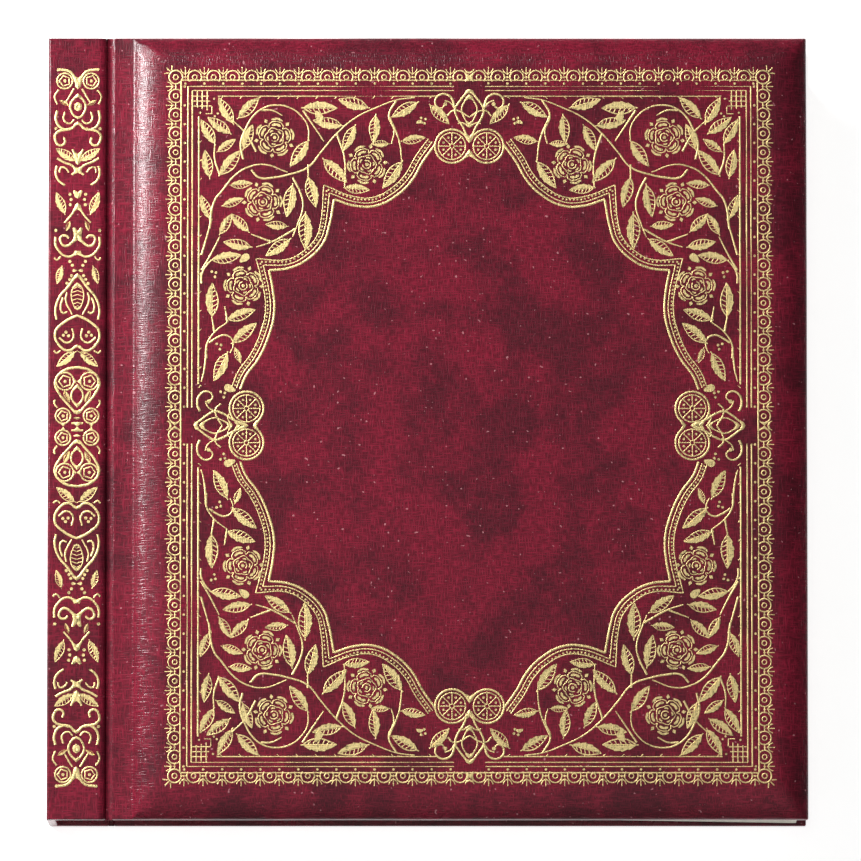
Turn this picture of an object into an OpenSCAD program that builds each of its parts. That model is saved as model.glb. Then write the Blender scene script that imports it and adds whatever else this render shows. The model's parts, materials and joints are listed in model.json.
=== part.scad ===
// Padded stamp album with a wrap-around case, three concealed binding posts and
// twelve stock leaves. It lies closed on its back cover: the spine is at -X, the
// fore-edge at +X, the head at +Y and the front cover on top. The origin is the
// centre of the footprint, on the surface the album lies on. Millimetres.

/* [Album] */
// Width of the closed album, spine to fore-edge
album_w = 292; // [260:1:330]
// Height of the closed album, tail to head
album_h = 302; // [280:1:340]

/* [Covers] */
// Thickness of the grey board in the covers and the spine
board_t = 2.5; // [1.5:0.1:3]
// Thickness of the leatherette covering
covering_t = 0.6; // [0.4:0.1:1]
// Thickness of the endpapers and of the covering where it is turned in
lining_t = 0.3; // [0.2:0.05:0.5]
// Width of the covering that is turned in round the boards
turn_in_w = 14; // [8:1:20]
// Width of the stiff hinge strip beside the spine
strip_w = 22.8; // [20:0.1:26]
// Width of the groove that the cover folds along
groove_w = 2.7; // [2:0.1:4]
// Flat margin between the groove and the padding
margin_w = 6.9; // [5:0.1:12]
// Height of the padding above the flat margin
pad_rise = 4.8; // [2:0.1:5.5]
// Width over which the padding rounds down to its edge
pad_edge_w = 14; // [10:0.5:20]

/* [Binding] */
// Thickness of each flange that clamps the leaf stubs
flange_t = 2.5; // [1.5:0.1:3]
// Room for the post heads between a flange and its cover
head_room = 1.5; // [1.4:0.1:2.5]
// Thickness of one leaf stub
stub_t = 1.8; // [1.6:0.1:2.2]
// Diameter of a binding post
post_d = 5; // [4.5:0.1:6]
// Diameter of the heads of a post and its screw
post_head_d = 10; // [8:0.5:12]
// Distance from one binding post to the next
post_spacing = 96; // [70:1:110]

/* [Leaves] */
// Number of leaves
leaf_count = 12; // [8:1:12]
// Thickness of a leaf's card
card_t = 1.0; // [0.6:0.1:1]
// Distance from one leaf to the next in the closed album
leaf_pitch = 2.35; // [2.2:0.05:2.35]
// Thickness of the linen guard that hinges a leaf
guard_t = 0.3; // [0.2:0.05:0.3]
// Number of clear pockets down each side of a leaf
pocket_rows = 7; // [4:1:8]
// Thickness of the clear pocket film
film_t = 0.15; // [0.1:0.05:0.2]
// Angle by which the leaves have sagged on their posts
sag_angle = 0.95; // [0:0.05:1]

/* [Hidden] */
$fn = 48;
half_w = album_w / 2;
half_h = album_h / 2;

// Levels from the surface the album lies on, upwards
back_inner_z = covering_t + board_t + lining_t;
back_flange_z = back_inner_z + head_room;
stubs_z = back_flange_z + flange_t;
front_flange_z = stubs_z + leaf_count * stub_t;
front_inner_z = front_flange_z + flange_t + head_room;
front_board_z = front_inner_z + lining_t;
front_foam_z = front_board_z + board_t;
front_face_z = front_foam_z + covering_t;
front_top_z = front_face_z + pad_rise;
spine_top_z = front_inner_z - 0.3;

// Places from the spine to the fore-edge
strip_end_x = -half_w + strip_w;
cover_x = strip_end_x + groove_w;
pad_x = cover_x + margin_w;
binding_x = -half_w + covering_t + board_t + 0.3;
flange_end_x = strip_end_x + 4.2;
post_x = -half_w + 12;
groove_cloth_t = 0.8;

// Leaf stubs and hinges: the upper leaves turn furthest, so each hinge steps a
// little further from the spine than the one above it until the steps die away
hinge_x0 = cover_x + 16.5;
hinge_step_w = 7;
hinge_steps = 6;
stub_clearance = 1.8;
stub_play = 0.05;
guard_slope_w = 9;
guard_lap_w = 8;
guard_play = 0.15;
leaf_end_x = half_w - 4;
leaf_head_y = half_h - 3;
leaf_tail_y = -half_h + 4.8;
stub_half_h = half_h - 5;
pocket_inset = 4;
pocket_gap = 3;

// Posts
post_bore_d = post_d - 1.3;
post_hole_d = post_d + 0.2;
running_gap = 0.05;
post_head_t = 1.15;
screw_slot_w = 1.4;
screw_slot_depth = 0.6;
shank_l = 14;
bore_l = 16;

function hinge_x(i) =
    hinge_x0 + hinge_step_w * (1 - pow((hinge_steps - min(i, hinge_steps)) / (hinge_steps - 1), 2));
function hinge_z(i) = stubs_z + stub_t * (leaf_count - i) + stub_t / 2;
function leaf_z(i) =
    (back_inner_z + front_inner_z) / 2 + leaf_pitch * ((leaf_count + 1) / 2 - i);
function card_x(i) = hinge_x(i) + guard_slope_w;
function sagged(i, p) = [p[0], p[1] - tan(sag_angle) * (p[0] - card_x(i))];

burgundy = "#6e1423";
board_grey = "#8d8a82";
cream = "#efe9da";
linen = "#e4dcc8";
nickel = "#c9c8c3";
foam_white = "#f2efe6";
film_clear = "#dfe8ea";

// A box from its lowest corner to its highest corner
module span(low, high) {
    translate(low) cube(high - low);
}

// The outline of a padded panel as it rounds over, from its edge to its flat top
module padded_panel(inset, base_z, rise) {
    slab = 0.01;
    hull() for (a = [0:15:90]) {
        edge = inset + pad_edge_w * (1 - cos(a));
        span([pad_x + edge, -half_h + edge, base_z + (rise - slab) * sin(a)],
             [half_w - edge, half_h - edge, base_z + (rise - slab) * sin(a) + slab]);
    }
}

// A covering wrapped round a board and turned in behind it, open at the groove.
// face is the level of the outer face, dir is -1 where the board lies below it
module wrapped(x0, x1, face, dir, open_left) {
    depth = covering_t + board_t + lining_t;
    low = min(face, face + dir * depth);
    board_low = dir < 0 ? low + lining_t : low + covering_t;
    left = open_left ? x0 - 1 : x0 + covering_t;
    right = open_left ? x1 - covering_t : x1 + 1;
    rim_left = open_left ? x0 - 1 : x0 + turn_in_w;
    rim_right = open_left ? x1 - turn_in_w : x1 + 1;
    difference() {
        span([x0, -half_h, low], [x1, half_h, low + depth]);
        span([left, -half_h + covering_t, board_low],
             [right, half_h - covering_t, board_low + board_t]);
        span([rim_left, -half_h + turn_in_w, min(face + dir * (depth - lining_t), face + dir * (depth + 1))],
             [rim_right, half_h - turn_in_w, max(face + dir * (depth - lining_t), face + dir * (depth + 1))]);
    }
}

module cover_board(z) {
    color(board_grey)
        span([cover_x, -half_h + covering_t, z], [half_w - covering_t, half_h - covering_t, z + board_t]);
}

module strip_board(z) {
    color(board_grey)
        span([-half_w + covering_t, -half_h + covering_t, z],
             [strip_end_x, half_h - covering_t, z + board_t]);
}

module endpaper(z) {
    color(cream)
        span([cover_x, -half_h + turn_in_w, z], [half_w - turn_in_w, half_h - turn_in_w, z + lining_t]);
}

module front_cover_pad() {
    color(foam_white) padded_panel(covering_t, front_foam_z, pad_rise);
}

module front_cover_covering() {
    color(burgundy) difference() {
        union() {
            wrapped(cover_x, half_w, front_face_z, -1, true);
            padded_panel(0, front_foam_z, pad_rise + covering_t);
        }
        padded_panel(covering_t, front_foam_z, pad_rise);
    }
}

module strip_covering(face, dir) {
    color(burgundy) wrapped(-half_w, strip_end_x, face, dir, false);
}

// The covering where it dips into a groove between a strip and its cover
module groove_cloth(z) {
    color(burgundy)
        span([strip_end_x, -half_h, z], [cover_x - 0.4, half_h, z + groove_cloth_t]);
}

module spine_board() {
    color(board_grey)
        span([-half_w + covering_t, -half_h + covering_t, back_inner_z],
             [-half_w + covering_t + board_t, half_h - covering_t, spine_top_z]);
}

module spine_covering() {
    color(burgundy) difference() {
        span([-half_w, -half_h, back_inner_z],
             [-half_w + covering_t + board_t, half_h, spine_top_z]);
        span([-half_w + covering_t, -half_h + covering_t, back_inner_z - 1],
             [half_w, half_h - covering_t, front_top_z]);
    }
}

// Holes for the three binding posts
module post_holes() {
    for (k = [-1:1])
        translate([post_x, k * post_spacing, 0]) cylinder(d = post_hole_d, h = front_top_z);
}

module flange(z) {
    color(board_grey) difference() {
        span([binding_x, -stub_half_h, z], [flange_end_x, stub_half_h, z + flange_t]);
        post_holes();
    }
}

module leaf_stubs() {
    color(cream) difference() {
        for (i = [1:leaf_count])
            span([binding_x, -stub_half_h, hinge_z(i) - stub_t / 2],
                 [hinge_x(i) - stub_clearance, stub_half_h, hinge_z(i) + stub_t / 2 - stub_play]);
        post_holes();
    }
}

module binding_posts() {
    color(nickel) for (k = [-1:1])
        translate([post_x, k * post_spacing, 0]) difference() {
            union() {
                translate([0, 0, back_flange_z - post_head_t])
                    cylinder(d = post_head_d, h = post_head_t);
                translate([0, 0, back_flange_z - post_head_t])
                    cylinder(d = post_d, h = front_flange_z + flange_t - back_flange_z + post_head_t - 0.3);
            }
            translate([0, 0, front_flange_z + flange_t - bore_l])
                cylinder(d = post_bore_d, h = bore_l + 1);
        }
}

module post_screw(k) {
    head_z = front_flange_z + flange_t + running_gap;
    color(nickel) translate([post_x, (k - 2) * post_spacing, 0]) difference() {
        union() {
            translate([0, 0, head_z]) cylinder(d = post_head_d, h = post_head_t);
            translate([0, 0, head_z - shank_l])
                cylinder(d = post_bore_d - 2 * running_gap, h = shank_l + post_head_t / 2);
        }
        span([-post_head_d, -screw_slot_w / 2, head_z + post_head_t - screw_slot_depth],
             [post_head_d, screw_slot_w / 2, front_top_z]);
    }
}

// A flat sheet on a leaf, its edges sloping with the sag
module leaf_sheet(i, x0, x1, y0, y1, z, t) {
    translate([0, 0, z]) linear_extrude(t)
        polygon([for (p = [[x0, y0], [x1, y0], [x1, y1], [x0, y1]]) sagged(i, p)]);
}

module leaf_card(i) {
    color(cream)
        leaf_sheet(i, card_x(i), leaf_end_x, leaf_tail_y, leaf_head_y, leaf_z(i) - card_t / 2, card_t);
}

// The linen strip from the stub's edge, where the leaf turns, to its lap on the card
module leaf_guard(i) {
    lap_z = leaf_z(i) + card_t / 2;
    start = hinge_x(i) + guard_play;
    color(linen) translate([0, leaf_tail_y + stub_half_h * 2 - 2, 0]) rotate([90, 0, 0])
        linear_extrude(stub_half_h * 2 - 2)
            polygon([[start, hinge_z(i) - guard_t / 2], [card_x(i), lap_z],
                     [card_x(i) + guard_lap_w, lap_z], [card_x(i) + guard_lap_w, lap_z + guard_t],
                     [card_x(i), lap_z + guard_t], [start, hinge_z(i) + guard_t / 2]]);
}

module leaf_pockets(i) {
    x0 = card_x(i) + guard_lap_w + 2;
    x1 = leaf_end_x - pocket_inset;
    low = leaf_tail_y + pocket_inset;
    pitch = (leaf_head_y - pocket_inset - low + pocket_gap) / pocket_rows;
    color(film_clear) for (row = [0:pocket_rows - 1], side = [-1, 1])
        leaf_sheet(i, x0, x1, low + row * pitch, low + (row + 1) * pitch - pocket_gap,
                   leaf_z(i) + (side > 0 ? card_t / 2 : -card_t / 2 - film_t), film_t);
}

cover_board(front_board_z);  // front_cover_board
front_cover_pad();
front_cover_covering();
endpaper(front_inner_z);  // front_endpaper
strip_board(front_board_z);  // front_strip_board
strip_covering(front_face_z, -1);  // front_strip_covering
groove_cloth(front_board_z);  // front_groove_cloth
spine_board();
spine_covering();
strip_board(covering_t);  // back_strip_board
strip_covering(0, 1);  // back_strip_covering
groove_cloth(covering_t + board_t - groove_cloth_t);  // back_groove_cloth
cover_board(covering_t);  // back_cover_board
color(burgundy) wrapped(cover_x, half_w, 0, 1, true);  // back_cover_covering
endpaper(covering_t + board_t);  // back_endpaper
flange(front_flange_z);  // front_flange
flange(back_flange_z);  // back_flange
leaf_stubs();
binding_posts();
for (k = [1:3]) {
    post_screw(k);
}
for (i = [1:leaf_count]) {
    leaf_card(i);
    leaf_guard(i);
    leaf_pockets(i);
}
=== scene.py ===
"""Padded stamp album: leatherette case, gold-blocked ornament, linen guards and studio stage."""

import json
import math

import bmesh
import bpy
from mathutils import Matrix, Vector
from mathutils.bvhtree import BVHTree

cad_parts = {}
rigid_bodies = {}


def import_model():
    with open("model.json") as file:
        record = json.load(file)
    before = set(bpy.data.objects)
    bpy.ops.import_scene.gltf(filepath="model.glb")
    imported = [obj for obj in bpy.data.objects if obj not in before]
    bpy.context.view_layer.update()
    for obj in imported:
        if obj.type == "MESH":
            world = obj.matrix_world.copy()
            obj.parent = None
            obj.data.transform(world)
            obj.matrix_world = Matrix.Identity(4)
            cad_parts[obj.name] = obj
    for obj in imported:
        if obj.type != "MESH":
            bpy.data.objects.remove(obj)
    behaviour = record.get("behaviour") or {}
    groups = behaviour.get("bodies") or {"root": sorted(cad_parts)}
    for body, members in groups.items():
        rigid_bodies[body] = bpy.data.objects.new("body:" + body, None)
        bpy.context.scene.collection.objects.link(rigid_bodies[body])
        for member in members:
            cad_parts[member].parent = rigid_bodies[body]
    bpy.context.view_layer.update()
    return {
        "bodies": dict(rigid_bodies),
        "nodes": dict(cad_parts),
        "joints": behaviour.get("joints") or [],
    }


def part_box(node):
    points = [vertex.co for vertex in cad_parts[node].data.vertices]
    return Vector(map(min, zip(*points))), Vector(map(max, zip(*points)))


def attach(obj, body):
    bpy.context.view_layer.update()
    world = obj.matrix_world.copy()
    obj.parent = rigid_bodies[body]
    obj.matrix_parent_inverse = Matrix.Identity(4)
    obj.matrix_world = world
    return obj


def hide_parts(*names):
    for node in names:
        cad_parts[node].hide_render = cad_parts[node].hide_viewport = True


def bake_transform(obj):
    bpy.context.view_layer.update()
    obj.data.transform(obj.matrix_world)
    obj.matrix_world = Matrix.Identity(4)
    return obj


bl_info = {
    "name": "Padded stamp album",
    "version": (1, 0, 0),
    "blender": (4, 5, 0),
    "location": "View3D > Sidebar > Album",
    "description": "Builds the covers, gilding, guards and finishes of a padded stamp album round its frame",
    "category": "Object",
}

MM = 0.001
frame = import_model()
JOINTS = {joint["name"]: joint for joint in frame["joints"]}
LEAVES = sorted((body for body in frame["bodies"] if body.startswith("leaf_")), key=lambda b: int(b[5:]))

# Levels and places that the frame gives, in metres
cover_low, cover_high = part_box("front_cover_covering")
board_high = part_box("front_cover_board")[1]
pad_low, pad_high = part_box("front_cover_pad")
strip_low, strip_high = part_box("front_strip_covering")
back_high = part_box("back_cover_covering")[1]
spine_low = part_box("spine_covering")[0]
FACE_Z = strip_high.z
HALF_L = cover_high.y
PAD_X = pad_low.x - (cover_high.z - pad_high.z)

WALL = 0.25 * MM  # thickness of the coverings wrapped round the case
GAP = 0.35 * MM  # room that a covering takes up past its CAD box, into a groove or fold


# ---------------------------------------------------------------- settings


def length(name, description, millimetres):
    """A size setting, kept in metres."""
    return bpy.props.FloatProperty(
        name=name, description=description, default=millimetres * MM, unit="LENGTH", precision=5
    )


def number(name, description, default, **limits):
    """A setting that is a plain number or an angle."""
    return bpy.props.FloatProperty(name=name, description=description, default=default, **limits)


def whole_number(name, description, default, least):
    """A setting that counts something."""
    return bpy.props.IntProperty(name=name, description=description, default=default, min=least)


def colour(name, description, code):
    """A colour setting, given as an sRGB hex value."""
    return bpy.props.StringProperty(name=name, description=description, default=code)


class AlbumCoverSettings(bpy.types.PropertyGroup):
    """Sizes of the covering and its padding"""

    leather: length("Leatherette", "Thickness of the covering", 0.3)
    edge_w: length("Pad edge", "Width over which the padding rounds down to its edge", 14)
    turn_in: length("Turn-in", "Width of the covering turned in behind the board", 14)
    corner: length("Corner", "Radius at which the covering folds round a board edge", 0.6)
    strip_roll: length("Strip roll", "Width over which the hinge strip rounds down into the groove", 3.2)
    wave: length("Wave", "How far the padding waves out of flat", 0.25)
    paper: length("Endpaper", "Thickness of the endpapers", 0.15)
    roll_angle: number(
        "Roll angle", "Turn of the arc that the pad's edge follows", math.radians(50), subtype="ANGLE"
    )
    roll_steps: whole_number("Roll steps", "Rows of faces down the rounded edge", 10, 4)


class AlbumFoilSettings(bpy.types.PropertyGroup):
    """Sizes of the gold blocking"""

    relief: number("Relief", "Height of a line against half its width", 0.4, min=0.1, max=1)
    plate: length("Plate", "Height of a filled shape above the covering", 0.14)
    centre_x: length("Centre X", "Middle of the cover ornament, from the album's middle", 16.2)
    centre_y: length("Centre Y", "Middle of the cover ornament, from the album's middle", 0.3)
    pitch: length("Pitch", "Distance from one border ring to the next", 7.29)
    leaf_size: number("Leaf size", "Scale of the vine's leaves", 1.15)
    strip_weight: number("Strip weight", "Weight of the strip's lines against those drawn", 1.4)
    columns: whole_number("Columns", "Rings along half the top border, without the corner", 15, 2)
    rows: whole_number("Rows", "Rings up half the side border, without the corner", 18, 2)


class AlbumFinishSettings(bpy.types.PropertyGroup):
    """Colours of the album's finishes"""

    burgundy: colour("Leatherette", "Burgundy of the covering", "#6b1226")
    shade: colour("Leatherette shade", "Darker clouds in the covering", "#500d1d")
    gold: colour("Gold foil", "Colour of the blocked ornament", "#f2dc9c")
    board: colour("Grey board", "Colour of the board inside the covers", "#8d8a82")
    cream: colour("Card", "Colour of the leaves and endpapers", "#f4efe2")
    linen: colour("Linen", "Colour of the leaf guards", "#e4dcc8")


class AlbumStageSettings(bpy.types.PropertyGroup):
    """Camera and light"""

    distance: length("Distance", "From the camera to the cover", 5000)
    tilt: number("Tilt", "Lean of the camera towards the tail", math.radians(5.9), subtype="ANGLE")
    lens: number("Lens", "Focal length in millimetres", 544.5)
    key: number("Key light", "Power in watts", 35)
    accent: number("Accent light", "Power in watts", 6.8)
    fill: number("Fill light", "Power in watts", 10)


# ---------------------------------------------------------------- modelling helpers


def deselect():
    """Leaves nothing selected, in object mode."""
    bpy.ops.object.select_all(action="DESELECT")


def activate(piece):
    """Makes a piece the only one selected, and the active one."""
    deselect()
    piece.select_set(True)
    bpy.context.view_layer.objects.active = piece


def start_edit(piece, mode="EDGE", action="DESELECT"):
    """Opens a piece in edit mode with nothing selected, or all of it."""
    activate(piece)
    bpy.ops.object.mode_set(mode="EDIT")
    bpy.ops.mesh.select_mode(type=mode)
    bpy.ops.mesh.select_all(action=action)


def end_edit():
    """Goes back to object mode."""
    bpy.ops.object.mode_set(mode="OBJECT")


def select_open_edges(piece, test=lambda middle: True):
    """Selects the open edges whose middle passes the test."""
    bpy.ops.mesh.select_all(action="DESELECT")
    mesh = bmesh.from_edit_mesh(piece.data)
    for edge in mesh.edges:
        if edge.is_boundary and test((edge.verts[0].co + edge.verts[1].co) / 2):
            edge.select_set(True)
    bmesh.update_edit_mesh(piece.data)


def extrude(shift):
    """Extrudes what is selected by a shift."""
    bpy.ops.mesh.extrude_region_move(TRANSFORM_OT_translate={"value": shift})


def apply_modifier(piece, kind, **settings):
    """Adds a modifier with its settings and applies it."""
    activate(piece)
    modifier = piece.modifiers.new(kind.title(), kind)
    for name, value in settings.items():
        setattr(modifier, name, value)
    bpy.ops.object.modifier_apply(modifier=modifier.name)


def tidy_normals(piece):
    """Merges doubles and turns every face outwards."""
    start_edit(piece, "VERT", "SELECT")
    bpy.ops.mesh.remove_doubles(threshold=0.001 * MM)
    bpy.ops.mesh.normals_make_consistent(inside=False)
    end_edit()


def smooth(piece, angle=40):
    """Shades a piece smooth except over sharp edges."""
    activate(piece)
    bpy.ops.object.shade_smooth_by_angle(angle=math.radians(angle))


def finish_piece(piece, slot):
    """Gives a piece the finish of its slot."""
    piece.data.materials.clear()
    piece.data.materials.append(MATERIALS[slot])


def place_piece(piece, slot, body, *nodes):
    """Gives a piece its finish, the body it moves with and the nodes it stands for."""
    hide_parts(*nodes)
    finish_piece(piece, slot)
    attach(piece, body)


def new_grid(name, size, centre, divisions):
    """A flat grid of a size round its centre, left open in edit mode with all of it selected."""
    deselect()
    across, along = divisions
    bpy.ops.mesh.primitive_grid_add(x_subdivisions=across, y_subdivisions=along, size=1)
    piece = bpy.context.object
    piece.name = piece.data.name = name
    start_edit(piece, action="SELECT")
    bpy.ops.transform.resize(value=(*size, 1))
    bpy.ops.transform.translate(value=centre)
    return piece


def new_line(name, points, closed=False):
    """A mesh line through points in the XZ plane, at the tail end of the album."""
    drawn = bpy.data.curves.new(name, "CURVE")
    drawn.dimensions = "3D"
    spline = drawn.splines.new("POLY")
    spline.points.add(len(points) - 1)
    for point, (x, z) in zip(spline.points, points):
        point.co = (x, 0, z, 1)
    spline.use_cyclic_u = closed
    piece = bpy.data.objects.new(name, drawn)
    bpy.context.scene.collection.objects.link(piece)
    activate(piece)
    bpy.ops.object.convert(target="MESH")
    return bpy.context.object


def swept(name, points, closed=False, low=-HALF_L, high=HALF_L, steps=48):
    """A profile in the XZ plane carried along Y from low to high."""
    piece = new_line(name, points, closed)
    start_edit(piece, "VERT", "SELECT")
    bpy.ops.transform.translate(value=(0, low, 0))
    end_edit()
    apply_modifier(
        piece, "SCREW", axis="Y", angle=0, screw_offset=high - low, steps=steps, render_steps=steps
    )
    return piece


def rounded(piece, corner, segments, angle, wall):
    """Rounds the edges sharper than an angle, and hollows a piece that has a wall."""
    tidy_normals(piece)
    apply_modifier(
        piece, "BEVEL", width=corner, segments=segments, limit_method="ANGLE",
        angle_limit=math.radians(angle),
    )
    if wall:
        apply_modifier(piece, "SOLIDIFY", thickness=wall, offset=-1)
    smooth(piece)
    apply_modifier(piece, "WEIGHTED_NORMAL", keep_sharp=True)
    return piece


def cased(name, outline, wall, corner, inset=0.0):
    """A closed outline carried along Y to an inset from each end, hollow where it has a wall."""
    piece = swept(name, outline, True, inset - HALF_L, HALF_L - inset, steps=1)
    start_edit(piece)
    select_open_edges(piece)
    bpy.ops.mesh.fill_holes(sides=0)
    end_edit()
    return rounded(piece, corner, 3, 50, wall)


def wrapped_sheet(name, points, thickness, low=-HALF_L, high=HALF_L, steps=48):
    """A sheet that follows a profile, its thickness shared between its two sides."""
    piece = swept(name, points, low=low, high=high, steps=steps)
    apply_modifier(piece, "SOLIDIFY", thickness=thickness, offset=0)
    tidy_normals(piece)
    smooth(piece, 60)
    return piece


# ---------------------------------------------------------------- materials


def linear(code):
    """An sRGB hex value as a linear colour."""
    parts = [int(code[i : i + 2], 16) / 255 for i in (1, 3, 5)]
    return tuple(p / 12.92 if p <= 0.04045 else ((p + 0.055) / 1.055) ** 2.4 for p in parts) + (1.0,)


def grey(value):
    """A neutral linear colour."""
    return (value, value, value, 1.0)


def dimmed(tint, share):
    """A linear colour with this share of its light."""
    return tuple(share * part for part in tint[:3]) + (1.0,)


def give(node, takes):
    """Gives a value or an output to each socket that takes names."""
    for key, value in takes.items():
        if isinstance(value, bpy.types.NodeSocket):
            node.id_data.links.new(value, node.inputs[key])
        else:
            node.inputs[key].default_value = value


def add(tree, kind, takes, stops=(), out=0, **settings):
    """Adds a node with its settings, and hands back one of its outputs.

    takes gives a value or an output to each socket it names, and stops are the places and
    colours of a colour ramp."""
    node = tree.nodes.new("ShaderNode" + kind)
    for name, value in settings.items():
        setattr(node, name, value)
    give(node, takes)
    for (place, tint), element in zip(stops, node.color_ramp.elements if stops else ()):
        element.position, element.color = place, tint
    return node.outputs[out]


def new_material(name, takes):
    """A material with these values on its shader, its tree and its Object coordinates."""
    material = bpy.data.materials.new(name)
    material.use_nodes = True
    tree = material.node_tree
    give(tree.nodes["Principled BSDF"], takes)
    return material, tree, add(tree, "TexCoord", {}, out="Object")


def finished(material, tint, height=None, depth=0.0, strength=0.0, roughness=None):
    """Gives a material's shader its colour, and a bump and a roughness pattern where it has them."""
    takes = {"Base Color": tint}
    if roughness is not None:
        takes["Roughness"] = roughness
    if height is not None:
        relief = {"Height": height, "Distance": depth, "Strength": strength}
        takes["Normal"] = add(material.node_tree, "Bump", relief)
    give(material.node_tree.nodes["Principled BSDF"], takes)
    return material


def crossed_threads(tree, spot, pitch, run):
    """Height of two crossing sets of uneven threads, a pitch apart and about a run long."""
    fine, along = 2 / pitch, 1 / run
    sets = []
    for scale in ((fine, along, fine), (along, fine, along)):
        stretched = add(tree, "Mapping", {"Vector": spot, "Scale": scale})
        sets.append(add(tree, "TexNoise", {"Vector": stretched, "Scale": 1.0, "Detail": 0.0}))
    return add(tree, "Math", {0: sets[0], 1: sets[1]}, operation="MAXIMUM")


# Sockets of a Mix node that mixes colours: its share, its two colours and its result
MIX_SHARE, MIX_A, MIX_B, MIX_RESULT = 0, 6, 7, 2


def leatherette_material(settings):
    """Bonded leatherette: PVC-coated paper, printed with soft clouds and pale flecks, embossed as linen.

    Semi-gloss burgundy whose emboss breaks the highlight into fine crossed threads. The threads carry painted
    light on their raised tops and painted shade in the hollows between them."""
    material, tree, spot = new_material("leatherette linen-embossed burgundy", {"Specular IOR Level": 0.42})
    clouds = add(tree, "TexNoise", {"Vector": spot, "Scale": 1 / (24 * MM), "Detail": 4.0, "Roughness": 0.6})
    shade, base = linear(settings.shade), linear(settings.burgundy)
    tint = add(tree, "ValToRGB", {"Fac": clouds}, [(0.4, shade), (0.56, base)])
    threads = crossed_threads(tree, spot, 0.85 * MM, 3.2 * MM)
    # Painted light and shade on the emboss: raised threads painted lighter, the hollows between them painted
    # darker
    painted_thread_shading = add(tree, "ValToRGB", {"Fac": threads}, [(0.44, grey(0.7)), (0.76, grey(1.5))])
    mixed = {MIX_SHARE: 1.0, MIX_A: tint, MIX_B: painted_thread_shading}
    thread_shaded_covering = add(tree, "Mix", mixed, out=MIX_RESULT, data_type="RGBA", blend_type="MULTIPLY")
    dust = add(tree, "TexNoise", {"Vector": spot, "Scale": 1 / (1.3 * MM), "Detail": 0.0})
    flecks = add(tree, "ValToRGB", {"Fac": dust}, [(0.8, grey(0)), (0.86, grey(0.6))])
    mixed = {MIX_SHARE: flecks, MIX_A: thread_shaded_covering, MIX_B: linear("#c4868c")}
    covering = add(tree, "Mix", mixed, out=MIX_RESULT, data_type="RGBA")
    gloss = add(tree, "ValToRGB", {"Fac": clouds}, [(0.3, grey(0.32)), (0.7, grey(0.26))])
    return finished(material, covering, threads, 0.2 * MM, 0.6, gloss)


def gold_material(settings):
    """Hot-stamped gold foil: aluminised lacquer film pressed into the emboss.

    Bright metal, broken up by the linen under it, with painted shade where the linen's threads dip, and worn
    thin in specks."""
    material, tree, spot = new_material("gold foil hot-stamped", {"Metallic": 1.0, "Roughness": 0.5})
    specks = add(tree, "TexNoise", {"Vector": spot, "Scale": 1 / (0.8 * MM), "Detail": 3.0, "Roughness": 0.7})
    threads = crossed_threads(tree, spot, 0.9 * MM, 5 * MM)
    # Painted shade where the linen's threads dip, added to real wear where the foil is worn thin in specks
    weave_shade_and_wear = add(tree, "Math", {0: threads, 1: specks}, operation="ADD")
    bright = linear(settings.gold)
    tint = add(tree, "ValToRGB", {"Fac": weave_shade_and_wear}, [(0.8, dimmed(bright, 0.4)), (1.0, bright)])
    return finished(material, tint, weave_shade_and_wear, 0.12 * MM, 0.8)


def fibre_material(name, code, fibre, roughness, depth):
    """Board, card or paper: pulp pressed flat, so a dull surface with faint fibres and flecks."""
    material, tree, spot = new_material(name, {"Roughness": roughness, "Specular IOR Level": 0.3})
    laid = add(tree, "Mapping", {"Vector": spot, "Scale": (1, 0.35, 1), "Rotation": (0, 0, 0.4)})
    pulp = add(tree, "TexNoise", {"Vector": laid, "Scale": 1 / fibre, "Detail": 6.0, "Roughness": 0.7})
    tone = linear(code)
    tint = add(tree, "ValToRGB", {"Fac": pulp}, [(0.35, dimmed(tone, 0.86)), (0.6, tone)])
    return finished(material, tint, pulp, depth, 0.6)


def linen_material(settings):
    """Bookbinder's linen: plain-woven cotton, sized with starch.

    Matt, with threads 0.6 mm apart that show as a fine over-and-under weave."""
    values = {"Roughness": 0.85, "Specular IOR Level": 0.2, "Sheen Weight": 0.25}
    material, tree, spot = new_material("linen bookbinder's", values)
    threads = crossed_threads(tree, spot, 0.6 * MM, 5 * MM)
    cotton = linear(settings.linen)
    tint = add(tree, "ValToRGB", {"Fac": threads}, [(0.45, dimmed(cotton, 0.62)), (0.62, cotton)])
    return finished(material, tint, threads, 0.15 * MM, 0.8)


def foam_material():
    """Polyether foam: cut open-cell foam, pale and matt, with cells about half a millimetre wide."""
    values = {"Roughness": 0.95, "Specular IOR Level": 0.1}
    material, tree, spot = new_material("foam polyether open-cell", values)
    cells = add(tree, "TexVoronoi", {"Vector": spot, "Scale": 1 / (0.6 * MM)})
    tint = add(tree, "ValToRGB", {"Fac": cells}, [(0.05, linear("#c9c3b4")), (0.5, linear("#f2efe6"))])
    return finished(material, tint, cells, 0.2 * MM, 0.7)


def film_material():
    """Polyester pocket film: clear and glossy, with faint ripples from its weld lines."""
    material, tree, spot = new_material("film clear polyester", {"IOR": 1.57, "Alpha": 0.28})
    drawn = add(tree, "Mapping", {"Vector": spot, "Scale": (1, 0.2, 1)})
    ripples = add(tree, "TexNoise", {"Vector": drawn, "Scale": 1 / (12 * MM), "Detail": 2.0})
    haze = add(tree, "ValToRGB", {"Fac": ripples}, [(0.3, grey(0.08)), (0.7, grey(0.2))])
    return finished(material, linear("#eef4f6"), ripples, 0.15 * MM, 0.5, haze)


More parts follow.
